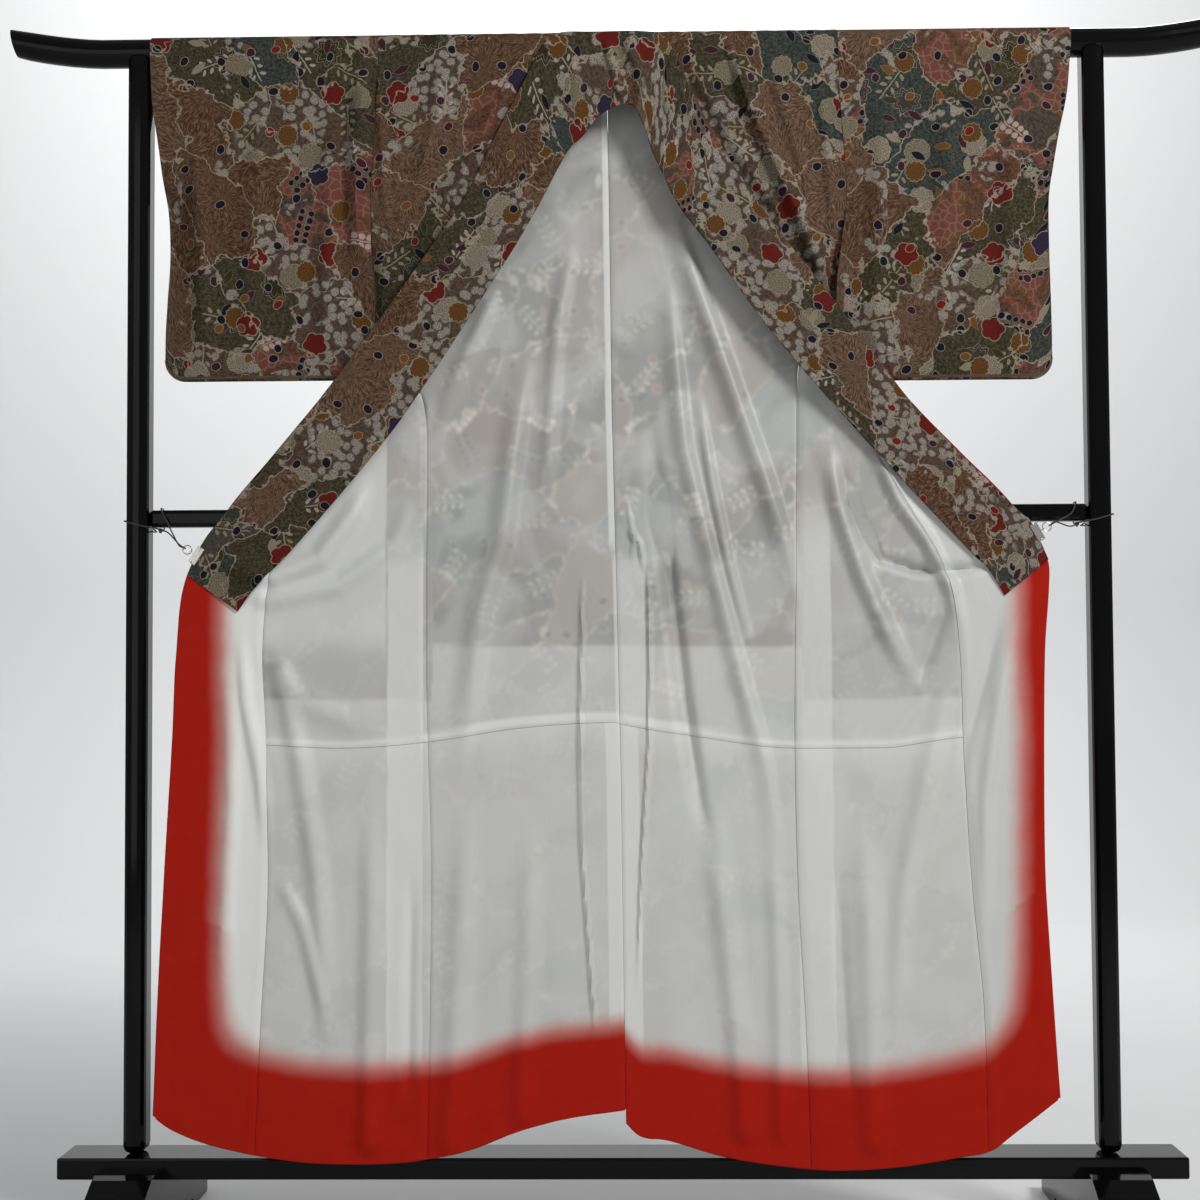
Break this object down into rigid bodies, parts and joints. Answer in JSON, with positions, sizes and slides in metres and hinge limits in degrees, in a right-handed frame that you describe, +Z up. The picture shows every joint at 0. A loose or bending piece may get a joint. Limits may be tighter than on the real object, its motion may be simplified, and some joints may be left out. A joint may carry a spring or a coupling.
{
  "type": "komon kimono on a lacquered kimono rack",
  "caption": "Lined silk kimono with an all-over small pattern, hung open over a black lacquered standing rack, its collar ends held out by clips tied to the posts",
  "frame": {"origin": "on the floor, under the middle of the rack", "axes": "+X along the rack to the viewer's right, -Y towards the viewer, +Z up"},
  "size_m": [1.7358, 0.56, 1.7204],
  "materials": {
    "komon_silk": "matte",
    "lining_silk": "satin",
    "hakkake_white": "satin",
    "hakkake_red": "satin",
    "black_lacquer": "gloss",
    "clip_steel": "polished",
    "black_cord": "matte"
  },
  "bodies": {
    "root": {"body_left": "komon_silk", "body_right": "komon_silk", "clip_left": "clip_steel", "clip_right": "clip_steel", "clip_ring_left": "clip_steel", "clip_ring_right": "clip_steel", "collar": "komon_silk", "hakkake_back_left": "hakkake_white", "hakkake_back_right": "hakkake_white", "hakkake_front_left": "hakkake_white", "hakkake_front_right": "hakkake_white", "hakkake_okumi_left": "hakkake_red", "hakkake_okumi_right": "hakkake_red", "lining_back_left": "lining_silk", "lining_back_right": "lining_silk", "lining_front_left": "lining_silk", "lining_front_right": "lining_silk", "okumi_left": "komon_silk", "okumi_right": "komon_silk", "rack_foot_left": "black_lacquer", "rack_foot_right": "black_lacquer", "rack_mid_rail": "black_lacquer", "rack_plank": "black_lacquer", "rack_post_left": "black_lacquer", "rack_post_right": "black_lacquer", "rack_top_rail": "black_lacquer", "sleeve_left": "komon_silk", "sleeve_right": "komon_silk", "tie_cord_left": "black_cord", "tie_cord_right": "black_cord"}
  },
  "joints": []
}
